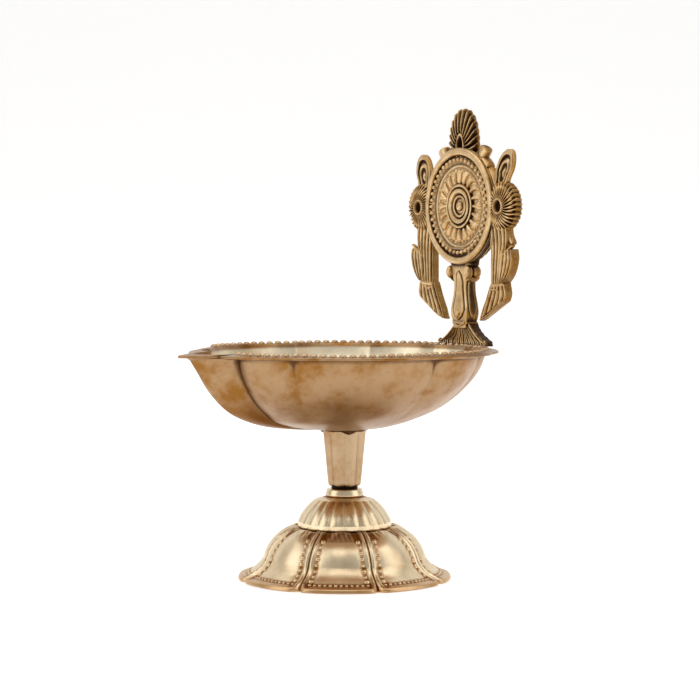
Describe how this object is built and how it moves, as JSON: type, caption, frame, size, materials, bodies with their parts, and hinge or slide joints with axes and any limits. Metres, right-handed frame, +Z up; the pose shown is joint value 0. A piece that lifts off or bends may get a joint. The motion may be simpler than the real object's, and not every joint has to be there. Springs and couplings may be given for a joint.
{
  "type": "diya oil lamp",
  "caption": "Small brass diya on a petalled foot and fluted stem, with a lobed, spouted, bead-rimmed bowl and a cast discus plaque standing on the rim.",
  "frame": {"origin": "on the stem's axis, in the plane that the foot stands on", "axes": "+Z up along the stem; -Y towards the spout; +Y towards the plaque on the rim; +X to the right seen from the spout"},
  "size_m": [0.0892, 0.101, 0.1397],
  "materials": {
    "bowl_brass": "satin, lightly tarnished",
    "foot_brass": "polished",
    "plaque_brass": "antiqued, dark in the recesses",
    "braze_metal": "dark, as brazed",
    "fastener_steel": "dull, oily"
  },
  "bodies": {
    "foot": {"petal_skirt": "foot_brass", "fluted_dome": "foot_brass", "center_stud": "fastener_steel", "foot_washer": "fastener_steel", "foot_nut": "fastener_steel"},
    "thread": {"gap_washer": "fastener_steel"},
    "lamp": {"fluted_stem": "bowl_brass", "braze_ring": "braze_metal", "oil_bowl": "bowl_brass", "plaque_frame": "plaque_brass", "chakra_disc": "plaque_brass", "disc_rivet": "plaque_brass", "flange_rivets": "plaque_brass"}
  },
  "joints": [
    {"name": "lamp_lift", "type": "slide", "parent": "foot", "child": "thread", "axis": [0, 0, 1], "range_m": [0, 0.008]},
    {"name": "lamp_unscrew", "type": "hinge", "parent": "thread", "child": "lamp", "pos_m": [0, 0, 0.0275], "axis": [0, 0, 1], "range_deg": [0, 2880]}
  ],
  "couplings": [
    {"joint": "lamp_lift", "follows": "lamp_unscrew", "m_per_rad": 0.00015915}
  ]
}
